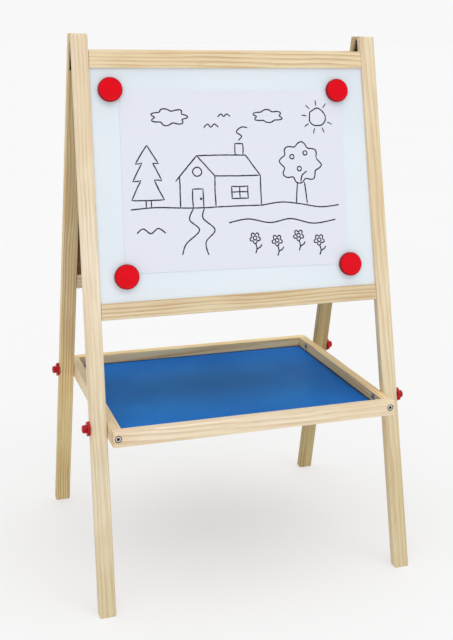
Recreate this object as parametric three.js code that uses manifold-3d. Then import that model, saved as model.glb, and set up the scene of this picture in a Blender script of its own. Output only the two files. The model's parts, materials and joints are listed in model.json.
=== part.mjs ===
// Folding double-sided kids' easel: two leaning frames hinged at the top, one with a magnetic whiteboard
// and one with a chalkboard, tied together by a shallow wooden tray on four hand knobs.
// Millimetres, +Z up. The whiteboard faces -Y, the floor is z = 0 and the hinge axis runs along X at y = 0.

import * as THREE from "three";
import { mergeVertices } from "three/addons/utils/BufferGeometryUtils.js";
import Module from "manifold-3d";

const wasm = await Module();
wasm.setup();

// ---------------------------------------------------------------- driving dimensions

const GAP = 0.3; // clearance wherever two pieces touch

const EASEL_WIDTH = 600; // over the outer faces of the legs
const LEAN = THREE.MathUtils.degToRad(12.6); // each frame from the vertical
const LEG = { width: 30, thick: 16, length: 1027, edge: 2.6, end: 2.2, footCorner: 4 };

const RAIL_THICK = 14; // frame rails sit 1 mm back from both faces of the legs
const TOP_RAIL = { height: 33, bottom: 964.5 };
const LOW_RAIL = { height: 29.6, bottom: 512 };
const TENON = { thick: 6, height: 14, length: 10 };

const BOARD = { thick: 3.2, front: 5.3, grip: 5.4 }; // grip is how far its edge enters the groove
const GROOVE = { depth: 6, front: 5, back: 8.8 };
const PAPER = { width: 440, height: 335, thick: 0.4, along: 756, tilt: THREE.MathUtils.degToRad(-0.9) };
const MAGNET = { radius: 22.5, height: 8, wall: 4.5, roof: 3.4, dish: 0.4, disc: 17.6, discHeight: 4.2 };
const MAGNETS = {
  top_left: [-234, 925.2],
  top_right: [213, 920.5],
  bottom_left: [-220.7, 586.7],
  bottom_right: [218.5, 583.7],
};

const HINGE = { width: 24, axisBelowTop: 15, axisOff: 8, knuckle: 6, tongue: 4, bore: 2 };
const BLOCK = { thick: 11, tall: 46, notch: 11, screws: [20, 38], screwLength: 23 };
const LEAF = { thick: 3, tall: 50, top: 7, web: 10, lip: [6.8, 11], screws: [18, 42], screwLength: 12 };
const PIN = { radius: 1.7, head: 3.2, headThick: 1.5 };
const WOOD_SCREW = { head: 3.8, headDeep: 2.4, shank: 1.7, tip: 3, pilot: 13, crossDeep: 1.4 };

const TRAY = { depth: 440, top: 325.5, height: 28, thick: 18, sideGap: 0.5, edge: 1.6, end: 1.4 };
const PANEL = { thick: 3, top: 306.3, grip: 4.4, groove: 5 };
const JOINT_SCREW = { up: 313, head: 5.5, headThick: 3, shank: 3, length: 40, socket: 2.9, socketDeep: 2.4 };

const BOLT_HEIGHT = 316; // of the four knob axes above the floor
const KNOB = { flange: 12.4, lobe: 1.1, lobes: 6, flangeThick: 5, hub: 7.2, height: 13.5, bore: 9 };
const STUD = { radius: 3, frontReach: 42, rearReach: 29.7 }; // reach is measured in from the leg's outer face
const INSERT = { flange: 5.5, flangeThick: 1.2, barrel: 4.3, bore: 12, socket: 2.9, socketDeep: 3.4 };

// ---------------------------------------------------------------- derived positions

const LEG_X = (EASEL_WIDTH - LEG.width) / 2;
const INNER_X = EASEL_WIDTH / 2 - LEG.width;
const HINGE_ALONG = LEG.length - HINGE.axisBelowTop;
const HINGE_OUT = LEG.thick + HINGE.axisOff;
const FOOT_Y = HINGE_OUT * Math.cos(LEAN) + HINGE_ALONG * Math.sin(LEAN);
const BOLT_ALONG = (BOLT_HEIGHT + (LEG.thick / 2) * Math.sin(LEAN)) / Math.cos(LEAN);
const BOLT_Y = FOOT_Y - (LEG.thick / 2) * Math.cos(LEAN) - BOLT_ALONG * Math.sin(LEAN);
const TRAY_X = INNER_X - TRAY.sideGap;
const TRAY_INNER_X = TRAY_X - TRAY.thick;
const TRAY_INNER_Y = TRAY.depth / 2 - TRAY.thick;
const TRAY_MID = TRAY.top - TRAY.height / 2;

// ---------------------------------------------------------------- materials

const finish = (color, roughness, metalness = 0) =>
  new THREE.MeshStandardMaterial({ color, roughness, metalness });

const PINE = finish(0xe6d2a6, 0.62);
const WHITE_LACQUER = finish(0xe8eef6, 0.22);
const SLATE_PAINT = finish(0x22262a, 0.85);
const PAPER_WHITE = finish(0xe8e9f2, 0.8);
const RED_CAP = finish(0xdc0f22, 0.35);
const RED_KNOB = finish(0xb5261f, 0.4);
const BLUE_LACQUER = finish(0x1a5fae, 0.3);
const STEEL = finish(0xb9bcc0, 0.35, 1);
const BLACK_NYLON = finish(0x17181a, 0.55);
const FERRITE = finish(0x3a3b3d, 0.6);

// ---------------------------------------------------------------- solids

// A three.js geometry as a manifold solid, for cutting and joining.
function solidOf(geometry) {
  const bare = new THREE.BufferGeometry();
  bare.setAttribute("position", geometry.getAttribute("position"));
  bare.setIndex(geometry.getIndex());
  const merged = mergeVertices(bare, 1e-4);
  const vertProperties = new Float32Array(merged.getAttribute("position").array);
  const triVerts = new Uint32Array(merged.getIndex().array);
  return new wasm.Manifold(new wasm.Mesh({ numProp: 3, vertProperties, triVerts }));
}

// A manifold solid back as a flat-shaded three.js geometry.
function geometryOf(solid) {
  const { vertProperties, triVerts } = solid.getMesh();
  const indexed = new THREE.BufferGeometry();
  indexed.setAttribute("position", new THREE.BufferAttribute(vertProperties, 3));
  indexed.setIndex(new THREE.BufferAttribute(triVerts, 1));
  const flat = indexed.toNonIndexed();
  flat.computeVertexNormals();
  return flat;
}

function box([x0, x1], [y0, y1], [z0, z1]) {
  const geometry = new THREE.BoxGeometry(x1 - x0, y1 - y0, z1 - z0);
  geometry.translate((x0 + x1) / 2, (y0 + y1) / 2, (z0 + z1) / 2);
  return solidOf(geometry);
}

// A turned solid about Z from [radius, height] points, listed from the bottom up.
function turned(points, segments = 24) {
  const profile = points.map(([r, z]) => new THREE.Vector2(r, z));
  const geometry = new THREE.LatheGeometry(profile, segments);
  geometry.rotateX(Math.PI / 2);
  return solidOf(geometry);
}

const rodZ = (radius, z0, z1, segments = 24) =>
  turned([[0, z0], [radius, z0], [radius, z1], [0, z1]], segments);
const rodX = (radius, x0, x1, y, z) => rodZ(radius, x0, x1).rotate([0, 90, 0]).translate([0, y, z]);
const rodY = (radius, y0, y1, x, z) => rodZ(radius, y0, y1).rotate([-90, 0, 0]).translate([x, 0, z]);

function roundedRect(width, depth, radius) {
  const [w, d] = [width / 2, depth / 2];
  const shape = new THREE.Shape();
  shape.absarc(w - radius, d - radius, radius, 0, Math.PI / 2);
  shape.absarc(radius - w, d - radius, radius, Math.PI / 2, Math.PI);
  shape.absarc(radius - w, radius - d, radius, Math.PI, 1.5 * Math.PI);
  shape.absarc(w - radius, radius - d, radius, 1.5 * Math.PI, 2 * Math.PI);
  return shape;
}

// A planed batten from z = 0 to its length, with eased edges and ends.
function batten(width, depth, length, edge, end) {
  const geometry = new THREE.ExtrudeGeometry(roundedRect(width, depth, edge), {
    depth: length - 2 * end,
    bevelThickness: end,
    bevelSize: end,
    bevelOffset: -end,
    bevelSegments: 2,
    curveSegments: 3,
  });
  geometry.translate(0, 0, end);
  return solidOf(geometry);
}

// The same batten lying along X, centred, with its height on Z and its near face at y = 0.
const beam = (length, depth, height, edge, end) =>
  batten(height, depth, length, edge, end).rotate([0, 90, 0]).translate([-length / 2, depth / 2, 0]);

const hexSocket = (radius, z0, z1) => rodZ(radius, z0, z1, 6);

// ---------------------------------------------------------------- scene graph

const easel = new THREE.Group();

// A frame is drawn upright with its outside face at y = 0 and its foot at z = 0, then leaned onto the hinge.
function leaningFrame(turn) {
  const side = new THREE.Group();
  const frame = new THREE.Group();
  side.rotation.z = turn;
  frame.rotation.x = -LEAN;
  frame.position.y = -FOOT_Y;
  side.add(frame);
  easel.add(side);
  return frame;
}

const frontFrame = leaningFrame(0);
const rearFrame = leaningFrame(Math.PI);

function place(group, name, solid, material, position = [0, 0, 0], rotation = [0, 0, 0]) {
  const mesh = new THREE.Mesh(geometryOf(solid), material);
  mesh.name = name;
  mesh.position.set(...position);
  mesh.rotation.set(...rotation);
  group.add(mesh);
}

// ---------------------------------------------------------------- the two frames

// Cuts a leaning leg level with the floor and eases the two corners of its foot.
function cutFoot(leg) {
  const half = LEG.width / 2;
  const r = LEG.footCorner;
  const outline = new THREE.Shape();
  outline.moveTo(half, LEG.length + LEG.thick);
  outline.lineTo(-half, LEG.length + LEG.thick);
  outline.absarc(r - half, r, r, Math.PI, 1.5 * Math.PI);
  outline.absarc(half - r, r, r, 1.5 * Math.PI, 2 * Math.PI);
  const reach = 2 * FOOT_Y;
  const prism = new THREE.ExtrudeGeometry(outline, { depth: reach, bevelEnabled: false, curveSegments: 4 });
  prism.rotateX(Math.PI / 2);
  prism.translate(0, reach, 0);
  const level = solidOf(prism).translate([0, -LEG.thick, 0]);
  const leanDegrees = THREE.MathUtils.radToDeg(LEAN);
  return leg.rotate([-leanDegrees, 0, 0]).intersect(level).rotate([leanDegrees, 0, 0]);
}

function mortise(inner, rail) {
  const mid = rail.bottom + rail.height / 2;
  const z = [mid - TENON.height / 2 - GAP, mid + TENON.height / 2 + GAP];
  const y = [(LEG.thick - TENON.thick) / 2 - GAP, (LEG.thick + TENON.thick) / 2 + GAP];
  return inwardBox(inner, TENON.length + GAP, y, z);
}

// A box that enters a leg's inner face by depth; inner is +1 or -1, the way that face looks.
function inwardBox(inner, depth, y, z) {
  const face = (inner * LEG.width) / 2;
  const x = [face - inner * depth, face + inner].sort((a, b) => a - b);
  return box(x, y, z);
}

function legSolid(inner, screwDrops) {
  const below = 2 * LEG.end + LEG.thick;
  const blank = batten(LEG.width, LEG.thick, LEG.length + below, LEG.edge, LEG.end);
  const board = [LOW_RAIL.bottom + LOW_RAIL.height - GROOVE.depth, TOP_RAIL.bottom + GROOVE.depth];
  const pilotHole = (drop) =>
    rodY(WOOD_SCREW.shank + GAP, LEG.thick - WOOD_SCREW.pilot, LEG.thick + 1, 0, HINGE_ALONG - drop);
  const cuts = [
    mortise(inner, TOP_RAIL),
    mortise(inner, LOW_RAIL),
    inwardBox(inner, GROOVE.depth, [GROOVE.front, GROOVE.back], board),
    rodX(STUD.radius + GAP, -LEG.width, LEG.width, LEG.thick / 2, BOLT_ALONG),
    ...screwDrops.map(pilotHole),
  ];
  const leg = cutFoot(blank.translate([0, LEG.thick / 2, -below]));
  return cuts.reduce((solid, cut) => solid.subtract(cut), leg);
}

function frameRail(rail, boardSide) {
  const length = 2 * (INNER_X - GAP);
  const front = (LEG.thick - RAIL_THICK) / 2;
  const mid = rail.bottom + rail.height / 2;
  const blank = beam(length, RAIL_THICK, rail.height, 1.5, 1).translate([0, front, mid]);
  const reach = length / 2 + TENON.length;
  const tenonY = [(LEG.thick - TENON.thick) / 2, (LEG.thick + TENON.thick) / 2];
  const tenon = box([-reach, reach], tenonY, [mid - TENON.height / 2, mid + TENON.height / 2]);
  const edge = mid + (boardSide * rail.height) / 2;
  const z = [edge - boardSide * GROOVE.depth, edge + boardSide].sort((a, b) => a - b);
  const groove = box([-length, length], [GROOVE.front, GROOVE.back], z);
  return blank.add(tenon).subtract(groove);
}

function boardSolid() {
  const x = INNER_X + BOARD.grip;
  const z0 = LOW_RAIL.bottom + LOW_RAIL.height - BOARD.grip;
  return box([-x, x], [BOARD.front, BOARD.front + BOARD.thick], [z0, TOP_RAIL.bottom + BOARD.grip]);
}

function buildFrame(group, prefix, leftSign, screwDrops, boardName, boardMaterial) {
  const sides = { left: leftSign, right: -leftSign };
  for (const [side, sign] of Object.entries(sides)) {
    place(group, `${prefix}_leg_${side}`, legSolid(-sign, screwDrops), PINE, [sign * LEG_X, 0, 0]);
  }
  place(group, `${prefix}_top_rail`, frameRail(TOP_RAIL, -1), PINE);
  place(group, `${prefix}_bottom_rail`, frameRail(LOW_RAIL, 1), PINE);
  place(group, boardName, boardSolid(), boardMaterial);
}

buildFrame(frontFrame, "front", -1, BLOCK.screws, "whiteboard", WHITE_LACQUER);
buildFrame(rearFrame, "rear", 1, LEAF.screws, "chalkboard", SLATE_PAINT);

// ---------------------------------------------------------------- top hinges

function countersunkScrew(length) {
  const { head, headDeep, shank, tip, crossDeep } = WOOD_SCREW;
  const body = turned([[0, -length], [shank, tip - length], [shank, -headDeep], [head, 0], [0, 0]], 16);
  const slot = [-head * 0.6, head * 0.6];
  const arm = [-0.5, 0.5];
  const cross = box(slot, arm, [-crossDeep, 1]).add(box(arm, slot, [-crossDeep, 1]));
  return body.subtract(cross);
}

// The clearance hole of a countersunk screw whose head lies at y, driven towards -Y.
function screwHole(y, z) {
  const { head, headDeep, shank } = WOOD_SCREW;
  const wide = GAP + 0.1;
  const end = -30;
  const drilled = [[0, end], [shank + GAP, end], [shank + GAP, -headDeep - wide]];
  const countersunk = [[head + wide, 0], [head + wide, 1], [0, 1]];
  return turned([...drilled, ...countersunk], 16).rotate([-90, 0, 0]).translate([0, y, z]);
}

function hingeBlock() {
  const half = HINGE.width / 2;
  const inner = HINGE.tongue + GAP;
  const back = LEG.thick + BLOCK.thick;
  const foot = LEG.thick + GAP;
  const z = HINGE_ALONG;
  const parts = [[-half, -inner], [inner, half]].flatMap((x) => [
    box(x, [foot, HINGE_OUT], [z - BLOCK.notch - 1, z]),
    rodX(HINGE.knuckle, x[0], x[1], HINGE_OUT, z),
  ]);
  const plate = box([-half, half], [foot, back], [z - BLOCK.tall, z - BLOCK.notch]);
  const holes = BLOCK.screws.map((drop) => screwHole(back, z - drop));
  const bore = rodX(HINGE.bore, -HINGE.width, HINGE.width, HINGE_OUT, z);
  const block = parts.reduce((solid, part) => solid.add(part), plate);
  return [bore, ...holes].reduce((solid, cut) => solid.subtract(cut), block);
}

function hingeLeaf() {
  const half = HINGE.width / 2;
  const front = LEG.thick + GAP;
  const face = LEG.thick + LEAF.thick;
  const z = HINGE_ALONG;
  const tongue = [-HINGE.tongue, HINGE.tongue];
  const plate = box([-half, half], [front, face], [z - LEAF.tall, z - LEAF.top]);
  const web = box(tongue, [front, HINGE_OUT], [z - LEAF.web, z]);
  const lip = box([-half, half], [front, face], [z + LEAF.lip[0], z + LEAF.lip[1]]);
  const neck = box(tongue, [front, face], [z - LEAF.top - 1, z + LEAF.lip[0] + 1]);
  const knuckle = rodX(HINGE.knuckle, ...tongue, HINGE_OUT, z);
  const holes = LEAF.screws.map((drop) => screwHole(face, z - drop));
  const bore = rodX(HINGE.bore, -HINGE.width, HINGE.width, HINGE_OUT, z);
  const leaf = plate.add(web).add(neck).add(lip).add(knuckle);
  return [bore, ...holes].reduce((solid, cut) => solid.subtract(cut), leaf);
}

function hingePin() {
  const reach = HINGE.width / 2 + GAP;
  const end = reach + PIN.headThick;
  const { radius, head } = PIN;
  const lower = [[0, -end], [head - 0.8, -end], [head, -end + 0.8], [head, -reach], [radius, -reach]];
  const upper = [[radius, reach], [head, reach], [head, end - 0.8], [head - 0.8, end], [0, end]];
  return turned([...lower, ...upper], 20).rotate([0, 90, 0]);
}

function addScrews(group, name, x, face, drops, length) {
  drops.forEach((drop, index) => {
    const position = [x, face, HINGE_ALONG - drop];
    place(group, `${name}_${index + 1}`, countersunkScrew(length), STEEL, position, [-Math.PI / 2, 0, 0]);
  });
}

for (const [side, sign] of Object.entries({ left: -1, right: 1 })) {
  const x = sign * LEG_X;
  place(frontFrame, `hinge_block_${side}`, hingeBlock(), BLACK_NYLON, [x, 0, 0]);
  place(frontFrame, `hinge_pin_${side}`, hingePin(), STEEL, [x, HINGE_OUT, HINGE_ALONG]);
  place(rearFrame, `hinge_leaf_${side}`, hingeLeaf(), BLACK_NYLON, [-x, 0, 0]);
  addScrews(frontFrame, `block_screw_${side}`, x, LEG.thick + BLOCK.thick, BLOCK.screws, BLOCK.screwLength);
  addScrews(rearFrame, `leaf_screw_${side}`, -x, LEG.thick + LEAF.thick, LEAF.screws, LEAF.screwLength);
}

// ---------------------------------------------------------------- tray

function screwBore(x, sign) {
  const face = (sign * TRAY.depth) / 2;
  const { head, headThick, shank, length, up } = JOINT_SCREW;
  const order = (a, b) => [Math.min(a, b), Math.max(a, b)];
  const seat = rodY(head + GAP, ...order(face + sign, face - sign * (headThick + 2 * GAP)), x, up);
  return seat.add(rodY(shank + GAP, ...order(face, face - sign * (length + 1)), x, up));
}

function trayCrossRail(sign) {
  const y0 = sign > 0 ? TRAY_INNER_Y : -TRAY.depth / 2;
  const blank = beam(2 * TRAY_X, TRAY.thick, TRAY.height, TRAY.edge, TRAY.end).translate([0, y0, TRAY_MID]);
  const reach = TRAY_INNER_X + PANEL.groove;
  const y = [sign * (TRAY_INNER_Y + PANEL.groove), sign * (TRAY_INNER_Y - 1)].sort((a, b) => a - b);
  const groove = box([-reach, reach], y, [PANEL.top - PANEL.thick - GAP, PANEL.top + GAP]);
  const x = TRAY_X - TRAY.thick / 2;
  return blank.subtract(groove).subtract(screwBore(x, sign)).subtract(screwBore(-x, sign));
}

function traySideRail(sign) {
  const length = 2 * (TRAY_INNER_Y - GAP);
  const x0 = sign > 0 ? TRAY_X : -TRAY_INNER_X;
  const blank = beam(length, TRAY.thick, TRAY.height, TRAY.edge, TRAY.end)
    .rotate([0, 0, 90])
    .translate([x0, 0, TRAY_MID]);
  const x = [sign * (TRAY_INNER_X + PANEL.groove), sign * (TRAY_INNER_X - 1)].sort((a, b) => a - b);
  const groove = box(x, [-length, length], [PANEL.top - PANEL.thick - GAP, PANEL.top + GAP]);
  const middle = sign * (TRAY_X - TRAY.thick / 2);
  const through = [middle - TRAY.thick, middle + TRAY.thick];
  const bores = [-1, 1].flatMap((end) => [
    rodX(INSERT.barrel + GAP, ...through, end * BOLT_Y, BOLT_HEIGHT),
    screwBore(middle, end),
  ]);
  return bores.reduce((solid, bore) => solid.subtract(bore), blank.subtract(groove));
}

function jointScrew() {
  const { head, headThick, shank, length, socket, socketDeep } = JOINT_SCREW;
  const under = -headThick - GAP;
  const rim = 0.5;
  const rod = [[0, -length], [shank, 2 - length], [shank, under]];
  const cap = [[head, under], [head, -GAP - rim], [head - rim, -GAP], [0, -GAP]];
  return turned([...rod, ...cap]).subtract(hexSocket(socket, -GAP - socketDeep, 1));
}

place(easel, "tray_front_rail", trayCrossRail(-1), PINE);
place(easel, "tray_back_rail", trayCrossRail(1), PINE);
place(easel, "tray_left_rail", traySideRail(-1), PINE);
place(easel, "tray_right_rail", traySideRail(1), PINE);

const panelX = TRAY_INNER_X + PANEL.grip;
const panelY = TRAY_INNER_Y + PANEL.grip;
const panel = box([-panelX, panelX], [-panelY, panelY], [PANEL.top - PANEL.thick, PANEL.top]);
place(easel, "tray_panel", panel, BLUE_LACQUER);

// ---------------------------------------------------------------- knobs, studs and inserts

// These are drawn about Z, which points outwards from the leg, with z = 0 on the leg's outer face.
function knobSolid() {
  const outline = new THREE.Shape();
  const steps = 10 * KNOB.lobes;
  for (let step = 0; step < steps; step += 1) {
    const angle = (2 * Math.PI * step) / steps;
    const radius = KNOB.flange + KNOB.lobe * Math.cos(KNOB.lobes * angle);
    outline[step ? "lineTo" : "moveTo"](radius * Math.cos(angle), radius * Math.sin(angle));
  }
  const bevel = 0.9;
  const flange = new THREE.ExtrudeGeometry(outline, {
    depth: KNOB.flangeThick - 2 * bevel,
    bevelThickness: bevel,
    bevelSize: bevel,
    bevelOffset: -bevel,
    bevelSegments: 2,
  });
  flange.translate(0, 0, GAP + bevel);
  const { hub, height } = KNOB;
  const rounding = [[hub, height - 2.4], [hub - 0.8, height - 0.8], [hub - 2.6, height]];
  const dome = turned([[0, 1], [hub, 1], ...rounding, [0, height]]);
  return solidOf(flange).add(dome).subtract(rodZ(STUD.radius + GAP, -1, KNOB.bore + GAP));
}

function studSolid(reach) {
  const ease = 0.6;
  const { radius } = STUD;
  const tip = [[0, -reach], [radius - ease, -reach], [radius, ease - reach]];
  return turned([...tip, [radius, KNOB.bore], [0, KNOB.bore]]);
}

function insertSolid() {
  const inner = -(LEG.width + TRAY.sideGap + TRAY.thick);
  const outer = -(LEG.width + TRAY.sideGap + GAP);
  const face = inner - GAP - INSERT.flangeThick;
  const { flange, barrel, bore, socket, socketDeep } = INSERT;
  const rim = 0.4;
  const collar = [[0, face], [flange - rim, face], [flange, face + rim], [flange, inner - GAP]];
  const body = turned([...collar, [barrel, inner - GAP], [barrel, outer], [0, outer]]);
  return body
    .subtract(rodZ(STUD.radius + GAP, outer - bore, outer + 1))
    .subtract(hexSocket(socket, face - 1, face + socketDeep));
}

for (const [end, endSign] of Object.entries({ front: -1, rear: 1 })) {
  const reach = end === "front" ? STUD.frontReach : STUD.rearReach;
  for (const [side, sign] of Object.entries({ left: -1, right: 1 })) {
    const seat = [(sign * EASEL_WIDTH) / 2, endSign * BOLT_Y, BOLT_HEIGHT];
    const turn = [0, (sign * Math.PI) / 2, 0];
    place(easel, `knob_${end}_${side}`, knobSolid(), RED_KNOB, seat, turn);
    place(easel, `knob_stud_${end}_${side}`, studSolid(reach), STEEL, seat, turn);
    place(easel, `tray_insert_${end}_${side}`, insertSolid(), STEEL, seat, turn);
    const screwSeat = [sign * (TRAY_X - TRAY.thick / 2), (endSign * TRAY.depth) / 2, JOINT_SCREW.up];
    const screwTurn = [(-endSign * Math.PI) / 2, 0, 0];
    place(easel, `tray_screw_${end}_${side}`, jointScrew(), STEEL, screwSeat, screwTurn);
  }
}

// ---------------------------------------------------------------- paper and magnets

const paperFront = BOARD.front - GAP - PAPER.thick;
const [halfWide, halfHigh] = [PAPER.width / 2, PAPER.height / 2];
const sheet = box([-halfWide, halfWide], [0, PAPER.thick], [-halfHigh, halfHigh]);
place(frontFrame, "paper_sheet", sheet, PAPER_WHITE, [0, paperFront, PAPER.along], [0, -PAPER.tilt, 0]);

// Drawn about Z with its open base at z = 0; the cap is a cup that holds the magnet disc, with a dished face.
function magnetCap() {
  const { radius, height, wall, roof, dish } = MAGNET;
  const bowl = radius - wall;
  const inside = height - roof;
  const base = [[0, inside], [bowl, inside], [bowl, 0], [radius - 0.4, 0], [radius, 0.4]];
  const rounding = [[radius, height - 2.2], [radius - 0.6, height - 0.8], [radius - 2, height]];
  const face = [[radius - 4, height], [radius - 5, height - dish], [0, height - dish]];
  return turned([...base, ...rounding, ...face], 48);
}

for (const [corner, [x, along]] of Object.entries(MAGNETS)) {
  const seat = [x, paperFront - GAP, along];
  const outwards = [Math.PI / 2, 0, 0];
  place(frontFrame, `magnet_cap_${corner}`, magnetCap(), RED_CAP, seat, outwards);
  const disc = rodZ(MAGNET.disc, 0.1, MAGNET.discHeight, 40);
  place(frontFrame, `magnet_disc_${corner}`, disc, FERRITE, seat, outwards);
}

export default easel;
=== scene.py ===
import json
import math
import random

import bpy
from mathutils import Matrix, Vector


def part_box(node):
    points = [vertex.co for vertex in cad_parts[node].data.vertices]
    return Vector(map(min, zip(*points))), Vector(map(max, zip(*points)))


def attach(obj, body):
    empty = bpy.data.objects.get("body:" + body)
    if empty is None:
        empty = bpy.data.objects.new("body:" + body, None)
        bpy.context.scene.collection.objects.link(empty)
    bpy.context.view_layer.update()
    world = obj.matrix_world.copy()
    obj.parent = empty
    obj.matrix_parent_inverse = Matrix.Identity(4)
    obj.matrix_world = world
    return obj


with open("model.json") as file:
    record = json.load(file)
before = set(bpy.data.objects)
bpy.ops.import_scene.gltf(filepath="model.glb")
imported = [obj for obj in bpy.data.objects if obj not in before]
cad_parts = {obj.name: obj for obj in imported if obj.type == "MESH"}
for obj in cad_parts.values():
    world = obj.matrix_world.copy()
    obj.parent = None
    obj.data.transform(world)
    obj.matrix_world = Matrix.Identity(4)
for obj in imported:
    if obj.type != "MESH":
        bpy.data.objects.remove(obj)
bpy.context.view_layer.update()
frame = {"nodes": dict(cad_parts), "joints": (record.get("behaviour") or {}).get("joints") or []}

NODES = frame["nodes"]

ACROSS = Vector((1.0, 0.0, 0.0))
DEEP = Vector((0.0, 1.0, 0.0))
HIGH = Vector((0.0, 0.0, 1.0))
WHITE = (1.0, 1.0, 1.0, 1.0)


# ------------------------------------------------------------------ directions and places

LEAN = math.radians(12.6)  # of both frames from the vertical
PAPER_LIFT = next(j for j in frame["joints"] if j["name"] == "paper_lift")
BOARD_OUT = Vector(PAPER_LIFT["axis"]).normalized()
BOARD_UP = Vector((0.0, math.sin(LEAN), math.cos(LEAN)))
REAR_OUT = Vector((0.0, -BOARD_OUT.y, BOARD_OUT.z))
REAR_UP = Vector((0.0, -BOARD_UP.y, BOARD_UP.z))
BOARD_AXES = (ACROSS, BOARD_OUT, BOARD_UP)
REAR_AXES = (ACROSS, REAR_OUT, REAR_UP)


def middle(node):
    """The centre of the node's box."""
    low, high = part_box(node)
    return (Vector(low) + Vector(high)) / 2


def outermost(node, direction):
    """How far the node reaches along the direction."""
    return max(direction.dot(v.co) for v in NODES[node].data.vertices)


# ------------------------------------------------------------------ node helpers

class Nodes:
    """A material's node tree with short calls for the nodes that are used here."""

    def __init__(self, name):
        self.material = bpy.data.materials.new(name)
        self.material.use_nodes = True
        self.tree = self.material.node_tree
        self.shader = self.tree.nodes["Principled BSDF"]

    def add(self, kind, **settings):
        node = self.tree.nodes.new(kind)
        for key, value in settings.items():
            setattr(node, key, value)
        return node

    def link(self, source, target):
        self.tree.links.new(source, target)

    def feed(self, socket, value):
        if isinstance(value, bpy.types.NodeSocket):
            self.link(value, socket)
        else:
            socket.default_value = value

    def math(self, operation, *values):
        node = self.add("ShaderNodeMath", operation=operation)
        for socket, value in zip(node.inputs, values):
            self.feed(socket, value)
        return node.outputs[0]

    def vector(self, operation, a, b=(0.0, 0.0, 0.0)):
        node = self.add("ShaderNodeVectorMath", operation=operation)
        self.feed(node.inputs[0], a)
        self.feed(node.inputs[1], b)
        is_number = operation in ("LENGTH", "DOT_PRODUCT")
        return node.outputs["Value" if is_number else "Vector"]

    def place(self):
        """The point in the object's own space, which is the row frame at rest."""
        return self.add("ShaderNodeTexCoord").outputs["Object"]

    def turned(self, vector, axes, origin=(0.0, 0.0, 0.0)):
        """The point in a piece's own frame, given by its x, y and z directions and its origin."""
        shifted = self.vector("SUBTRACT", vector, tuple(origin))
        return self.join(*(self.vector("DOT_PRODUCT", shifted, tuple(axis)) for axis in axes))

    def split(self, vector):
        node = self.add("ShaderNodeSeparateXYZ")
        self.link(vector, node.inputs[0])
        return node.outputs

    def join(self, x, y, z):
        node = self.add("ShaderNodeCombineXYZ")
        for socket, value in zip(node.inputs, (x, y, z)):
            self.feed(socket, value)
        return node.outputs[0]

    def distance_from(self, centre, axis):
        """Distance of the point from the line through `centre` along one of the three axes."""
        flat = tuple(1.0 - abs(a) for a in axis)
        offset = self.vector("MULTIPLY", self.vector("SUBTRACT", self.place(), tuple(centre)), flat)
        return self.vector("LENGTH", offset)

    def noise(self, vector, scale, detail=2.0, rough=0.5, distortion=0.0):
        node = self.add("ShaderNodeTexNoise")
        self.link(vector, node.inputs["Vector"])
        node.inputs["Scale"].default_value = scale
        node.inputs["Detail"].default_value = detail
        node.inputs["Roughness"].default_value = rough
        node.inputs["Distortion"].default_value = distortion
        return node.outputs["Fac"]

    def remap(self, value, low, high, to_low=0.0, to_high=1.0):
        """Eases from to_low to to_high while the value goes from low to high, and stays there beyond."""
        node = self.add("ShaderNodeMapRange", interpolation_type="SMOOTHSTEP")
        self.feed(node.inputs["Value"], value)
        node.inputs["From Min"].default_value = low
        node.inputs["From Max"].default_value = high
        node.inputs["To Min"].default_value = to_low
        node.inputs["To Max"].default_value = to_high
        return node.outputs["Result"]

    def mix(self, factor, a, b, blend="MIX"):
        """Mixes two colours. The node's colour sockets are inputs 6 and 7 and output 2."""
        node = self.add("ShaderNodeMix", data_type="RGBA", blend_type=blend)
        self.feed(node.inputs["Factor"], factor)
        for socket, colour in ((node.inputs[6], a), (node.inputs[7], b)):
            self.feed(socket, colour if isinstance(colour, bpy.types.NodeSocket) else (*colour, 1.0))
        return node.outputs[2]

    def bump(self, height, distance, strength=1.0, under=None):
        node = self.add("ShaderNodeBump")
        node.inputs["Strength"].default_value = strength
        node.inputs["Distance"].default_value = distance
        self.link(height, node.inputs["Height"])
        if under is not None:
            self.link(under, node.inputs["Normal"])
        return node.outputs["Normal"]

    def finish(self, colour, roughness, normal=None, **fixed):
        """Wires the shader and sets its `fixed` sockets, which are the same all over the surface."""
        self.link(colour, self.shader.inputs["Base Color"])
        self.feed(self.shader.inputs["Roughness"], roughness)
        if normal is not None:
            self.link(normal, self.shader.inputs["Normal"])
        for name, value in fixed.items():
            self.shader.inputs[name.replace("_", " ")].default_value = value
        return self.material


def srgb(r, g, b):
    """A colour given as it looks on a screen, 0 to 255, in linear light."""
    def linear(v):
        v = v / 255.0
        return v / 12.92 if v <= 0.04045 else ((v + 0.055) / 1.055) ** 2.4
    return (linear(r), linear(g), linear(b))


def paint(node, material):
    """Puts the material in every slot of the node."""
    for slot in NODES[node].material_slots:
        slot.material = material


def smooth(node, degrees=32.0):
    """Shades a node's faces smoothly and keeps edges sharper than the angle crisp."""
    mesh = NODES[node].data
    mesh.polygons.foreach_set("use_smooth", [True] * len(mesh.polygons))
    mesh.set_sharp_from_angle(angle=math.radians(degrees))


# ------------------------------------------------------------------ pine

RING = 0.0046  # from one growth ring to the next
SHADOW_RING_EDGES = ((0.0049, 0.0054), (0.0068, 0.0059))  # inner and outer edge of the painted shadow ring round a fitting


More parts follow.
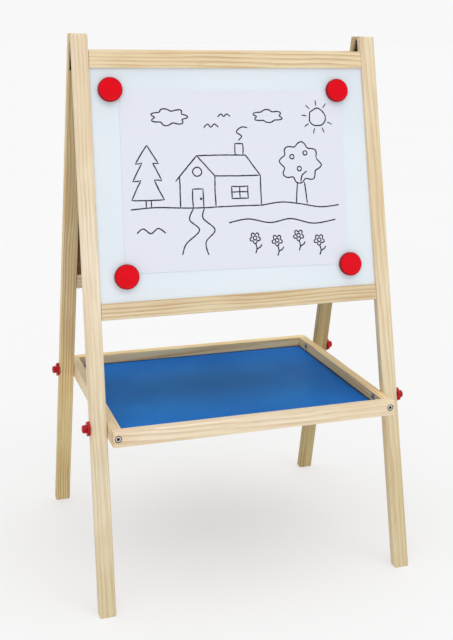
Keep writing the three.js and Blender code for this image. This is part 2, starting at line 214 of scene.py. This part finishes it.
def pine(name, origin, along, face, seed, tone=1.0, warm=0.0, contrast=1.0, painted_shade_below=0.0, metal=()):
    """Clear-lacquered pine sawn along `along`, with its broad face towards `face`.

    Growth rings are cones about a heart line that lies outside the batten and is a little out of parallel,
    so a broad face shows long streaks that close into flames, and an end shows arcs. `metal` lists the
    (node, axis) of each fitting sunk in the piece, which gets a painted shadow ring about it. Below the
    given height the colour is painted darker and yellower towards the floor, as painted shade.
    """
    rng = random.Random(seed)
    n = Nodes(name)
    side = Vector(along).cross(Vector(face)).normalized()
    x, y, z = n.split(n.turned(n.place(), (side, Vector(face), Vector(along)), origin))

    def stretched(factor):
        return n.join(x, y, n.math("MULTIPLY_ADD", z, factor, rng.uniform(0.0, 9.0)))

    wander = n.noise(n.join(rng.uniform(0, 9), rng.uniform(0, 9), z), 2.4, 2.0, 0.5)
    drift = n.math("MULTIPLY", n.math("SUBTRACT", wander, 0.5), 0.024)
    lean = n.math("MULTIPLY", z, rng.uniform(-0.009, 0.009))
    heart_x = rng.choice((-1, 1)) * rng.uniform(0.012, 0.04)
    hx = n.math("SUBTRACT", n.math("SUBTRACT", x, n.math("ADD", lean, drift)), heart_x)
    hy = n.math("ADD", n.math("MULTIPLY_ADD", z, rng.uniform(-0.012, 0.012), rng.uniform(0.034, 0.05)), y)
    radius = n.vector("LENGTH", n.join(hx, hy, 0.0))
    strand = n.noise(stretched(0.08), 60.0, 3.0, 0.6)
    swell = n.noise(n.join(radius, 0.0, rng.uniform(0, 9)), 90.0, 1.0)
    rings = n.math("DIVIDE", n.math("ADD", radius, n.math("MULTIPLY_ADD", strand, 0.0036, -0.0018)), RING)
    phase = n.math("FRACT", n.math("ADD", rings, n.math("MULTIPLY", swell, 1.1)))
    late = n.math("MULTIPLY", n.remap(phase, 0.3, 0.86), n.remap(phase, 1.0, 0.9))

    fibre = n.noise(stretched(0.02), 700.0, 3.0, 0.65)
    patch = n.noise(stretched(0.2), 15.0 + rng.uniform(0, 4), 2.0, 0.55)
    broad = n.noise(stretched(0.3), 30.0, 1.0)
    gain = n.remap(n.noise(stretched(0.3), 24.0, 1.0), 0.3, 0.7, 0.22 * contrast, 0.7 * contrast)
    canal = n.remap(n.noise(stretched(0.05), 520.0, 1.0, 0.5), 0.7, 0.8)

    def shade(r, g, b):
        return srgb(r * tone, g * tone * (1 - 0.02 * warm), b * tone * (1 - 0.1 * warm))

    base = n.mix(n.remap(patch, 0.3, 0.72), shade(246, 232, 208), shade(235, 217, 184))
    base = n.mix(n.math("MULTIPLY", n.remap(broad, 0.5, 0.72), 0.5), base, shade(231, 204, 174))
    base = n.mix(n.math("MULTIPLY", late, gain), base, shade(203, 172, 131))
    base = n.mix(n.remap(fibre, 0.34, 0.7, 0.0, 0.3), base, shade(196, 168, 128))
    base = n.mix(n.math("MULTIPLY", canal, 0.4), base, shade(150, 112, 72))
    normal = n.add("ShaderNodeTexCoord").outputs["Normal"]
    end = n.remap(n.math("ABSOLUTE", n.vector("DOT_PRODUCT", normal, tuple(along))), 0.6, 0.95)
    pores = n.remap(n.noise(n.join(x, y, 0.0), 900.0, 2.0, 0.7), 0.35, 0.7, 0.3, 0.75)
    colour = n.mix(n.math("MULTIPLY", end, pores), base, shade(178, 142, 100))
    # Painted shade: below the given height the colour is darkened and yellowed towards the floor.
    if painted_shade_below:
        height = n.split(n.place())[2]
        painted_floor_shade = n.math("MULTIPLY", n.remap(height, painted_shade_below, 0.0), n.remap(patch, 0.25, 0.6, 0.8, 1.0))
        colour = n.mix(painted_floor_shade, colour, (0.83, 0.84, 0.76), blend="MULTIPLY")
    # Painted shadow: a dark ring in the wood round each fitting.
    for fitting, axis in metal:
        reach = n.distance_from(middle(fitting), axis)
        painted_shadow_ring = n.math("MULTIPLY", *(n.remap(reach, *edge) for edge in SHADOW_RING_EDGES))
        colour = n.mix(n.math("MULTIPLY", painted_shadow_ring, 0.92), colour, srgb(46, 33, 24))

    sheen = n.remap(fibre, 0.3, 0.7, 0.46, 0.62)
    grain = n.math("ADD", n.math("MULTIPLY", fibre, 0.6), n.math("MULTIPLY", late, 0.4))
    return n.finish(colour, sheen, n.bump(grain, 0.0002, 0.5), Specular_IOR_Level=0.36)


# The legs' height entry is where their painted shade towards the floor begins.
FRONT_LEG = {"along": BOARD_UP, "face": BOARD_OUT, "painted_shade_below": 0.62}
REAR_LEG = {"along": REAR_UP, "face": REAR_OUT, "painted_shade_below": 0.62}
FRONT_RAIL = {"along": ACROSS, "face": BOARD_OUT}
REAR_RAIL = {"along": ACROSS, "face": REAR_OUT}
TRAY_LONG = {"along": ACROSS, "face": -DEEP}
TRAY_SIDE = {"along": DEEP, "face": -ACROSS}

WOOD = {
    "front_leg_left": dict(FRONT_LEG, seed=3, tone=1.005, contrast=0.65),
    "front_leg_right": dict(FRONT_LEG, seed=12, tone=0.985, warm=0.4, contrast=0.7),
    "rear_leg_left": dict(REAR_LEG, seed=5, painted_shade_below=0.42, tone=0.975, warm=1.5, contrast=1.5),
    # The right rear leg's low tone and added warmth are painted shade.
    "rear_leg_right": dict(REAR_LEG, seed=8, tone=0.84, warm=1.8, contrast=1.4),
    "front_top_rail": dict(FRONT_RAIL, seed=21, tone=1.0, warm=0.5, contrast=1.25),
    "front_bottom_rail": dict(FRONT_RAIL, seed=34, tone=0.95, warm=0.6, contrast=1.3),
    "rear_top_rail": dict(REAR_RAIL, seed=41, tone=0.965, warm=0.4, contrast=1.0),
    "rear_bottom_rail": dict(REAR_RAIL, seed=53, tone=0.955, warm=0.5, contrast=1.1),
    "tray_front_rail": dict(TRAY_LONG, seed=61, tone=1.02, contrast=0.9),
    "tray_back_rail": dict(TRAY_LONG, seed=77, tone=1.1, warm=1.4, contrast=1.2),
    "tray_left_rail": dict(TRAY_SIDE, seed=83, tone=0.98, warm=0.5, contrast=1.0),
    "tray_right_rail": dict(TRAY_SIDE, seed=95, tone=1.04, warm=1.3, contrast=1.5),
}

METAL = {f"tray_{rail}_rail": [(f"tray_screw_{end}_{side}", DEEP) for side in ("left", "right")]
         for rail, end in (("front", "front"), ("back", "rear"))}
for side in ("left", "right"):
    METAL[f"tray_{side}_rail"] = [(f"tray_insert_{end}_{side}", ACROSS) for end in ("front", "rear")]

for node, grain in WOOD.items():
    paint(node, pine("pine_" + node, middle(node), metal=METAL.get(node, ()), **grain))
    smooth(node)


# ------------------------------------------------------------------ boards and panel

def hardboard(n, p):
    """Colour of bare brown fibreboard: matted fibres with a few dark specks."""
    mat = n.noise(p, 130.0, 4.0, 0.65, 0.6)
    speck = n.noise(p, 900.0, 2.0, 0.6)
    colour = n.mix(n.remap(mat, 0.3, 0.7), srgb(142, 104, 72), srgb(116, 82, 56))
    return n.mix(n.remap(speck, 0.62, 0.8, 0.0, 0.6), colour, srgb(84, 58, 40))


def faced(n, node, direction, face_colour, face_rough, film=0.0004):
    """A painted or laminated face on bare fibreboard: the film is on the side that `direction` points to."""
    depth = n.vector("DOT_PRODUCT", n.place(), tuple(direction))
    edge = outermost(node, direction) - film
    front = n.remap(depth, edge - 0.0002, edge)
    colour = n.mix(front, hardboard(n, n.place()), face_colour)
    rough = n.math("ADD", n.math("MULTIPLY", front, face_rough),
                   n.math("MULTIPLY", n.math("SUBTRACT", 1.0, front), 0.85))
    return colour, rough


def whiteboard_material():
    """Bluish-white laminate with faint smears of wiped ink."""
    n = Nodes("whiteboard_laminate")
    p = n.turned(n.place(), BOARD_AXES)
    cloud = n.noise(p, 3.5, 2.0, 0.5)
    smear = n.noise(p, 9.0, 4.0, 0.6, 1.2)
    white = n.mix(n.remap(cloud, 0.3, 0.7), srgb(232, 240, 247), srgb(226, 235, 243))
    white = n.mix(n.remap(smear, 0.5, 0.85, 0.0, 0.09), white, srgb(214, 225, 235))
    colour, rough = faced(n, "whiteboard", BOARD_OUT, white, n.remap(cloud, 0.3, 0.7, 0.24, 0.27))
    peel = n.bump(n.noise(p, 240.0, 2.0), 0.00006, 0.3)
    return n.finish(colour, rough, peel, Specular_IOR_Level=0.45)


WIPED = ((0.94, 0.0, 0.34), (0.0, 1.0, 0.0), (-0.34, 0.0, 0.94))  # along a wipe of the sponge, out, across
SCUFFED = ((0.8, 0.6, 0.0), (-0.6, 0.8, 0.0), (0.0, 0.0, 1.0))  # along the panel's scuffs, across, up


def chalkboard_material():
    """Matt black board paint with wiped chalk dust."""
    n = Nodes("chalkboard_paint")
    p = n.turned(n.place(), REAR_AXES)
    u, v, w = n.split(n.turned(p, WIPED))
    wipe = n.noise(n.join(n.math("MULTIPLY", u, 0.35), v, w), 13.0, 5.0, 0.6, 0.8)
    dust = n.noise(p, 900.0, 2.0, 0.7)
    black = n.mix(n.remap(wipe, 0.42, 0.74, 0.0, 0.5), srgb(34, 37, 38), srgb(80, 85, 86))
    black = n.mix(n.remap(dust, 0.5, 0.75, 0.0, 0.3), black, srgb(106, 111, 110))
    colour, rough = faced(n, "chalkboard", REAR_OUT, black, n.remap(dust, 0.3, 0.7, 0.72, 0.9))
    return n.finish(colour, rough, n.bump(dust, 0.0001, 0.5), Specular_IOR_Level=0.25)


def panel_material():
    """Blue lacquer with painted light in the middle, painted shade towards the rails and a painted shadow
    line along them.
    """
    n = Nodes("blue_lacquer_panel")
    p = n.place()
    x, y, _ = n.split(p)
    flow = n.noise(p, 5.0, 2.0, 0.5)
    scuff = n.noise(n.turned(p, SCUFFED), 26.0, 4.0, 0.6, 0.5)
    # Painted light and shade: the blue is painted paler in the middle and deeper towards the rails.
    deep = n.mix(n.remap(flow, 0.3, 0.7), srgb(3, 103, 188), srgb(6, 109, 195))
    painted_lit_blue = n.mix(n.remap(flow, 0.3, 0.7), srgb(22, 124, 209), srgb(26, 129, 214))
    inner_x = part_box("tray_right_rail")[0][0]
    inner_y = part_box("tray_back_rail")[0][1]
    from_side = n.math("SUBTRACT", inner_x, n.math("ABSOLUTE", x))
    from_end = n.math("SUBTRACT", inner_y, n.math("ABSOLUTE", y))
    from_rail = n.math("MINIMUM", from_side, from_end)
    patchy = n.math("MULTIPLY_ADD", n.noise(p, 8.0, 3.0, 0.55), 0.2, -0.1)
    painted_light_mask = n.remap(n.math("ADD", from_rail, patchy), -0.01, 0.14)
    blue = n.mix(painted_light_mask, deep, painted_lit_blue)
    blue = n.mix(n.remap(scuff, 0.6, 0.84, 0.0, 0.08), blue, srgb(60, 136, 205))
    # Painted shadow: a dark line in the gap along the rails.
    blue = n.mix(n.remap(from_rail, 0.0042, 0.0018, 0.0, 0.9), blue, srgb(10, 22, 44))
    colour, rough = faced(n, "tray_panel", HIGH, blue, n.remap(scuff, 0.3, 0.75, 0.29, 0.34))
    fine = n.bump(n.noise(p, 900.0, 2.0, 0.6), 0.00002, 0.2)
    return n.finish(colour, rough, fine, Specular_IOR_Level=0.055)


for node, make in (("whiteboard", whiteboard_material), ("chalkboard", chalkboard_material),
                   ("tray_panel", panel_material)):
    paint(node, make())
    smooth(node)


# ------------------------------------------------------------------ small parts

def plastic(name, base, deep, rough, seed):
    """Moulded plastic between two shades."""
    n = Nodes(name)
    p = n.vector("ADD", n.place(), (seed * 0.37, seed * 0.11, 0.0))
    mould = n.noise(p, 160.0, 3.0, 0.6)
    shade = n.noise(p, 34.0, 2.0, 0.5)
    colour = n.mix(n.remap(shade, 0.3, 0.7), base, deep)
    fine = n.bump(n.noise(p, 1500.0, 2.0, 0.6), 0.00004, 0.4)
    gloss = n.remap(mould, 0.3, 0.7, rough - 0.05, rough + 0.07)
    return n.finish(colour, gloss, fine, Specular_IOR_Level=0.22)


def magnet_cap(node):
    """Red moulded cap with painted shade round its turned-down edge, and faint rings left by the mould."""
    n = Nodes("magnet_red_" + node)
    p = n.turned(n.place(), BOARD_AXES, middle(node))
    x, _, z = n.split(p)
    reach = n.vector("LENGTH", n.join(x, 0.0, z))
    shade = n.noise(p, 40.0, 2.0, 0.5)
    red = n.mix(n.remap(shade, 0.3, 0.7), srgb(230, 6, 28), srgb(221, 4, 24))
    # Painted shade: the red is darkened round the turned-down edge.
    red = n.mix(n.remap(reach, 0.0198, 0.0222, 0.0, 0.85), red, srgb(120, 4, 18))
    turning = n.noise(n.join(reach, 0.0, 0.0), 1900.0, 2.0, 0.6)
    fine = n.noise(p, 1500.0, 2.0, 0.6)
    texture = n.bump(n.math("ADD", turning, n.math("MULTIPLY", fine, 0.5)), 0.00003, 0.35)
    return n.finish(red, n.remap(shade, 0.3, 0.7, 0.3, 0.4), texture, Specular_IOR_Level=0.12)


def steel(name, seed, light, dark, sockets=(), metallic=1.0):
    """Plated steel; `sockets` lists (node, axis, radius) of drive sockets, which are painted dark within as
    painted shade, with a painted shadow ring round the head.
    """
    n = Nodes(name)
    p = n.vector("ADD", n.place(), (seed * 0.21, 0.0, seed * 0.13))
    spangle = n.noise(p, 420.0, 2.0, 0.6)
    film = n.noise(p, 60.0, 3.0, 0.6)
    colour = n.mix(n.remap(film, 0.3, 0.7), light, dark)
    rough = n.remap(spangle, 0.3, 0.7, 0.26, 0.44)
    for node, axis, radius in sockets:
        reach = n.distance_from(middle(node), axis)
        # Painted shade: the socket is painted dark within.
        painted_socket_shade = n.remap(reach, radius + 0.0002, radius - 0.0003)
        colour = n.mix(n.math("MULTIPLY", painted_socket_shade, 0.96), colour, srgb(14, 13, 13))
        # Painted shadow: a dark ring round the edge of the head.
        colour = n.mix(n.remap(reach, 0.0043, 0.0051, 0.0, 0.85), colour, srgb(42, 38, 34))
    return n.finish(colour, rough, n.bump(spangle, 0.00003, 0.4), Metallic=metallic)


def ferrite():
    n = Nodes("magnet_ferrite")
    grit = n.noise(n.place(), 1800.0, 3.0, 0.7)
    colour = n.mix(n.remap(grit, 0.35, 0.7), srgb(52, 53, 56), srgb(84, 85, 88))
    return n.finish(colour, 0.7, n.bump(grit, 0.00006, 0.6))


ZINC = (srgb(232, 231, 228), srgb(204, 203, 201))
SOCKET = 0.0029  # radius of the drive sockets
STEEL = steel("zinc_plated_steel", 1, *ZINC)
OXIDE = steel("black_oxide_steel", 2, srgb(52, 52, 54), srgb(36, 36, 38))
BLACK = plastic("black_nylon", srgb(22, 21, 21), srgb(32, 31, 31), 0.55, 4)
KNOB_RED = plastic("knob_red_plastic", srgb(184, 12, 28), srgb(160, 9, 20), 0.36, 7)
FERRITE = ferrite()


def tray_screw(node):
    return steel(node + "_steel", 3, *ZINC, sockets=[(node, DEEP, SOCKET)])


def tray_insert(node):
    return steel(node + "_steel", 5, *ZINC, sockets=[(node, ACROSS, SOCKET)], metallic=0.25)


# The start of a node's name, its material or what makes it, and the angle that still looks round. The first
# row that fits is taken.
CRISP, ROUND = 32.0, 48.0
FITTINGS = (
    ("tray_screw", tray_screw, CRISP),
    ("tray_insert", tray_insert, CRISP),
    ("knob_stud", STEEL, CRISP),
    ("block_screw", OXIDE, CRISP),
    ("leaf_screw", OXIDE, CRISP),
    ("hinge_pin", OXIDE, CRISP),
    ("hinge_block", BLACK, CRISP),
    ("hinge_leaf", BLACK, CRISP),
    ("knob_", KNOB_RED, ROUND),
    ("magnet_cap", magnet_cap, ROUND),
    ("magnet_disc", FERRITE, CRISP),
)

for node in NODES:
    for start, look, angle in FITTINGS:
        if node.startswith(start):
            paint(node, look(node) if callable(look) else look)
            smooth(node, angle)
            break


# ------------------------------------------------------------------ paper and its line drawing

def paper_material():
    n = Nodes("drawing_paper")
    p = n.turned(n.place(), BOARD_AXES)
    pulp = n.noise(p, 260.0, 4.0, 0.65)
    tooth = n.noise(p, 1600.0, 2.0, 0.6)
    sag = n.noise(p, 5.0, 1.0)
    colour = n.mix(n.remap(pulp, 0.3, 0.7), srgb(229, 232, 242), srgb(226, 229, 240))
    under = n.bump(sag, 0.004, 0.25)
    return n.finish(colour, n.remap(pulp, 0.3, 0.7, 0.8, 0.9), n.bump(tooth, 0.00005, 0.5, under),
                    Specular_IOR_Level=0.25)


def ink_material():
    n = Nodes("felt_pen_ink")
    flow = n.noise(n.place(), 160.0, 3.0, 0.6)
    colour = n.mix(n.remap(flow, 0.35, 0.7), srgb(20, 21, 27), srgb(40, 42, 51))
    rough = n.remap(flow, 0.3, 0.7, 0.5, 0.75)
    return n.finish(colour, rough, n.bump(flow, 0.00003, 0.4), Specular_IOR_Level=0.3)


def curve_through(points, closed=False, step=2.2):
    """A smooth line through the points (mm), in short even steps."""
    pts = [Vector(p) for p in points]
    count = len(pts)
    spans = range(count if closed else count - 1)
    line = []
    for i in spans:
        a, b = pts[i], pts[(i + 1) % count]
        before = pts[i - 1] if closed or i > 0 else a
        after = pts[(i + 2) % count] if closed or i + 2 < count else b
        pieces = max(2, int((b - a).length / step))
        for k in range(pieces):
            t = k / pieces
            line.append(0.5 * ((2 * a) + (b - before) * t + (2 * before - 5 * a + 4 * b - after) * t * t
                               + (3 * a - before - 3 * b + after) * t ** 3))
    line.append(pts[0] if closed else pts[-1])
    return line


def straight(points, rng, step=5.0):
    """Straight runs between the points (mm), with the small sway of a line drawn by hand."""
    line = [Vector(points[0])]
    for a, b in zip(points, points[1:]):
        a, b = Vector(a), Vector(b)
        across = Vector((a.y - b.y, b.x - a.x)).normalized()
        pieces = max(2, int((b - a).length / step))
        bow = rng.uniform(-0.9, 0.9)
        for k in range(1, pieces + 1):
            t = k / pieces
            shake = rng.uniform(-0.2, 0.2) * (k < pieces)
            line.append(a.lerp(b, t) + across * (math.sin(math.pi * t) * bow + shake))
    return line


def bumps(centre, size, lobes, rng, turn=0.0, depth=0.17):
    """A closed outline of rounded lobes, as for a cloud or a leafy crown."""
    points = []
    for i in range(lobes):
        for share, reach in ((0.0, 1.0 - depth), (0.28, 0.97), (0.5, 1.06), (0.72, 0.97)):
            a = turn + 2 * math.pi * (i + share) / lobes
            r = reach * rng.uniform(0.96, 1.04)
            points.append((centre[0] + size[0] * r * math.cos(a), centre[1] + size[1] * r * math.sin(a)))
    return curve_through(points, closed=True)


def ring(centre, radius, rng, points=10):
    """A small circle drawn a little unevenly."""
    around = [(centre[0] + radius * rng.uniform(0.93, 1.07) * math.cos(2 * math.pi * i / points),
               centre[1] + radius * rng.uniform(0.93, 1.07) * math.sin(2 * math.pi * i / points))
              for i in range(points)]
    return curve_through(around, closed=True, step=1.2)


def picture(rng):
    """The strokes of a simple landscape, in mm from the middle of the sheet, by subject."""
    def line(*points):
        return straight(points, rng)

    cottage = [
        line((-112, -52), (-112, 6), (-78, 44), (-44, 6), (-44, -52), (-112, -52)),
        line((-78, 44), (18, 44), (46, 6), (-44, 6)),
        line((46, 6), (46, -51), (-44, -52)),
        line((-120, -3), (-78, 44)),
        line((-2, 44), (-2, 66), (13, 66), (13, 44)),
        line((-88, -52), (-88, -18), (-68, -18), (-68, -52)),
        line((-12, -14), (20, -14), (20, -37), (-12, -37), (-12, -14)),
        line((4, -14), (4, -37)),
        line((-12, -25), (20, -25)),
        ring((-78, 14), 8.5, rng),
        ring((-72.5, -36), 1.3, rng, 6),
        curve_through([(5, 72), (12, 80), (2, 88), (12, 97), (24, 96)]),
    ]
    trees = [
        bumps((128, 28), (41, 38), 8, rng, 0.3),
        line((121, -8), (117, -50)),
        line((135, -9), (139, -50)),
        curve_through([(128, -8), (131, 4), (141, 12)]),
        ring((112, 40), 4.2, rng, 7),
        ring((139, 47), 4.2, rng, 7),
        ring((126, 17), 4.2, rng, 7),
        line((-172, 64), (-194, 30), (-182, 32), (-200, -2), (-185, 0), (-203, -36), (-142, -36), (-160, 0),
             (-146, -1), (-162, 31), (-151, 30), (-172, 64)),
        line((-177, -36), (-177, -51)),
        line((-167, -36), (-167, -51)),
    ]
    sky = [
        ring((168, 116), 17, rng, 12),
        bumps((-128, 116), (35, 15), 7, rng, 0.5, 0.24),
        bumps((66, 118), (30, 12), 6, rng, 0.1, 0.24),
        curve_through([(-62, 96), (-54, 103), (-48, 97), (-41, 103), (-33, 97)]),
        curve_through([(-34, 116), (-27, 122), (-22, 117), (-16, 122), (-9, 117)]),
    ]
    for i in range(9):
        a = 2 * math.pi * i / 9 + 0.25
        if abs(math.cos(a)) < 0.92 or math.cos(a) < 0:
            sky.append(line((168 + 22 * math.cos(a), 116 + 22 * math.sin(a)),
                            (168 + 33 * math.cos(a), 116 + 33 * math.sin(a))))
    ground = [
        curve_through([(-206, -53), (-160, -50), (-112, -52)]),
        curve_through([(46, -51), (86, -46), (124, -50), (166, -57), (205, -54)]),
        curve_through([(-88, -54), (-96, -74), (-78, -94), (-104, -118), (-112, -138)]),
        curve_through([(-67, -54), (-70, -72), (-48, -94), (-66, -116), (-62, -140)]),
        curve_through([(-196, -96), (-184, -88), (-170, -97), (-156, -88), (-142, -97)]),
        curve_through([(-20, -82), (18, -76), (62, -84), (104, -78), (150, -88), (196, -82)]),
    ]
    for x, y in ((30, -112), (74, -118), (118, -110), (160, -120)):
        ground.append(ring((x, y), 3.6, rng, 7))
        ground.append(bumps((x, y), (10, 10), 5, rng, 0.3, 0.36))
        ground.append(curve_through([(x + 1, y - 11), (x + 3, y - 20), (x, y - 29)]))
        ground.append(curve_through([(x + 2, y - 21), (x + 10, y - 17), (x + 13, y - 12)]))
    return {"cottage": cottage, "trees": trees, "sky": sky, "ground": ground}


PEN_WIDTH = 2.5  # mm
PEN_FOOT, PEN_CROWN = 0.02, 0.09  # mm above the paper of a line's edges and of its flat top


def pen_lines(name, strokes, place, rng):
    """Low closed ribbons of ink that follow the strokes; `place` turns sheet mm and a height into metres."""
    vertices, faces = [], []
    for line in strokes:
        first = len(vertices)
        for i, point in enumerate(line):
            ahead = line[min(i + 1, len(line) - 1)] - line[max(i - 1, 0)]
            across = Vector((-ahead.y, ahead.x)).normalized() if ahead.length > 1e-9 else Vector((0, 1))
            taper = 0.62 if i in (0, len(line) - 1) else 1.0
            half = across * (PEN_WIDTH / 2 * taper * rng.uniform(0.88, 1.12))
            for offset, height in ((half, PEN_FOOT), (half * 0.7, PEN_CROWN),
                                   (-half * 0.7, PEN_CROWN), (-half, PEN_FOOT)):
                vertices.append(place(point + offset, height))
        for i in range(len(line) - 1):
            a = first + 4 * i
            for k in range(4):
                b = (k + 1) % 4
                faces.append((a + k, a + 4 + k, a + 4 + b, a + b))
        last = first + 4 * (len(line) - 1)
        faces.append((first, first + 1, first + 2, first + 3))
        faces.append((last + 3, last + 2, last + 1, last))
    mesh = bpy.data.meshes.new(name)
    mesh.from_pydata(vertices, [], faces)
    mesh.update()
    obj = bpy.data.objects.new(name, mesh)
    bpy.context.scene.collection.objects.link(obj)
    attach(obj, "paper")
    return obj


PAPER_TILT = math.radians(-0.9)  # the sheet hangs a little askew


def build_drawing():
    """Draws the landscape on the face of the sheet, square to its edges."""
    face = outermost("paper_sheet", BOARD_OUT)
    centre = middle("paper_sheet")
    centre += BOARD_OUT * (face - BOARD_OUT.dot(centre))
    right = ACROSS * math.cos(PAPER_TILT) + BOARD_UP * math.sin(PAPER_TILT)
    up = BOARD_UP * math.cos(PAPER_TILT) - ACROSS * math.sin(PAPER_TILT)

    def place(point, height):
        return centre + (right * point.x + up * point.y + BOARD_OUT * height) / 1000

    rng = random.Random(17)
    ink = ink_material()
    for subject, strokes in picture(rng).items():
        obj = pen_lines("drawing_" + subject, strokes, place, rng)
        obj.data.materials.append(ink)


paint("paper_sheet", paper_material())
build_drawing()


# ------------------------------------------------------------------ floor, light and camera

FLOOR_REACH = 80.0  # metres from the middle to each side
FLOOR_GLOW = 0.576  # strength of the light from below


def build_floor():
    """A wide floor of white opal, lit from below as well as from above, so that shadows on it stay soft."""
    n = Nodes("studio_floor")
    tone = n.noise(n.place(), 0.8, 1.0, 0.5)
    colour = n.mix(n.remap(tone, 0.3, 0.7), (0.335, 0.335, 0.335), (0.341, 0.341, 0.341))
    n.finish(colour, 0.9, Specular_IOR_Level=0.0, Emission_Color=WHITE, Emission_Strength=FLOOR_GLOW)
    n.material.cycles.emission_sampling = "NONE"
    mesh = bpy.data.meshes.new("studio_floor")
    corners = [(x * FLOOR_REACH, y * FLOOR_REACH, 0.0) for x, y in ((-1, -1), (1, -1), (1, 1), (-1, 1))]
    mesh.from_pydata(corners, [], [(0, 1, 2, 3)])
    mesh.materials.append(n.material)
    floor = bpy.data.objects.new("studio_floor", mesh)
    bpy.context.scene.collection.objects.link(floor)


# The dome's strength against the sine of the elevation.
DOME = {"From Min": 0.06, "From Max": 0.42, "To Min": 0.938, "To Max": 0.27}


def build_world():
    """A studio dome, nearly white at the horizon and dim overhead, with a smooth change between."""
    world = bpy.data.worlds.new("studio")
    world.use_nodes = True
    tree = world.node_tree
    background = tree.nodes["Background"]
    direction = tree.nodes.new("ShaderNodeTexCoord").outputs["Generated"]
    split = tree.nodes.new("ShaderNodeSeparateXYZ")
    level = tree.nodes.new("ShaderNodeMapRange")
    level.interpolation_type = "SMOOTHSTEP"
    for socket, value in DOME.items():
        level.inputs[socket].default_value = value
    tree.links.new(direction, split.inputs[0])
    tree.links.new(split.outputs["Z"], level.inputs["Value"])
    tree.links.new(level.outputs["Result"], background.inputs["Strength"])
    background.inputs["Color"].default_value = WHITE
    bpy.context.scene.world = world


def soft_sun(name, azimuth, elevation, spread, level):
    """A broad distant light. Azimuth is measured from the front towards the right; level is what white paper
    held square to it would show."""
    data = bpy.data.lights.new(name, "SUN")
    data.angle = math.radians(spread)
    data.energy = level * math.pi
    a, e = math.radians(azimuth), math.radians(elevation)
    towards = Vector((math.sin(a) * math.cos(e), -math.cos(a) * math.cos(e), math.sin(e)))
    lamp = bpy.data.objects.new(name, data)
    bpy.context.scene.collection.objects.link(lamp)
    lamp.location = towards * 4.0
    lamp.rotation_euler = towards.to_track_quat("Z", "Y").to_euler()


CAMERA_PLACE = (-0.61773, -1.84351, 1.00862)
CAMERA_TURN = (18.636, -8.794, 0.725)  # degrees of yaw to the right, pitch and roll
LENS, LENS_SHIFT = 56.92, -0.2062


def build_camera():
    """Looks from the front left, level with the easel's top, with the lens lowered a little so that the
    legs stay upright."""
    data = bpy.data.cameras.new("camera")
    data.sensor_width = 36.0
    data.lens = LENS
    data.shift_y = LENS_SHIFT
    data.clip_end = 400.0
    camera = bpy.data.objects.new("camera", data)
    bpy.context.scene.collection.objects.link(camera)
    yaw, pitch, roll = (math.radians(a) for a in CAMERA_TURN)
    look = Vector((math.sin(yaw) * math.cos(pitch), math.cos(yaw) * math.cos(pitch), math.sin(pitch)))
    right = Vector((math.cos(yaw), -math.sin(yaw), 0.0))
    up = right.cross(look)
    x = right * math.cos(roll) + up * math.sin(roll)
    y = up * math.cos(roll) - right * math.sin(roll)
    turn = Matrix((x, y, -look)).transposed().to_4x4()
    camera.matrix_world = Matrix.Translation(CAMERA_PLACE) @ turn
    bpy.context.scene.camera = camera


build_floor()
build_world()
soft_sun("overhead", azimuth=0.0, elevation=86.0, spread=84.0, level=0.69)
soft_sun("key", azimuth=35.0, elevation=45.0, spread=30.0, level=0.08)
soft_sun("front_left", azimuth=-35.0, elevation=20.0, spread=40.0, level=0.10)
build_camera()

view = bpy.context.scene.view_settings
view.view_transform = "Standard"
view.look = "None"
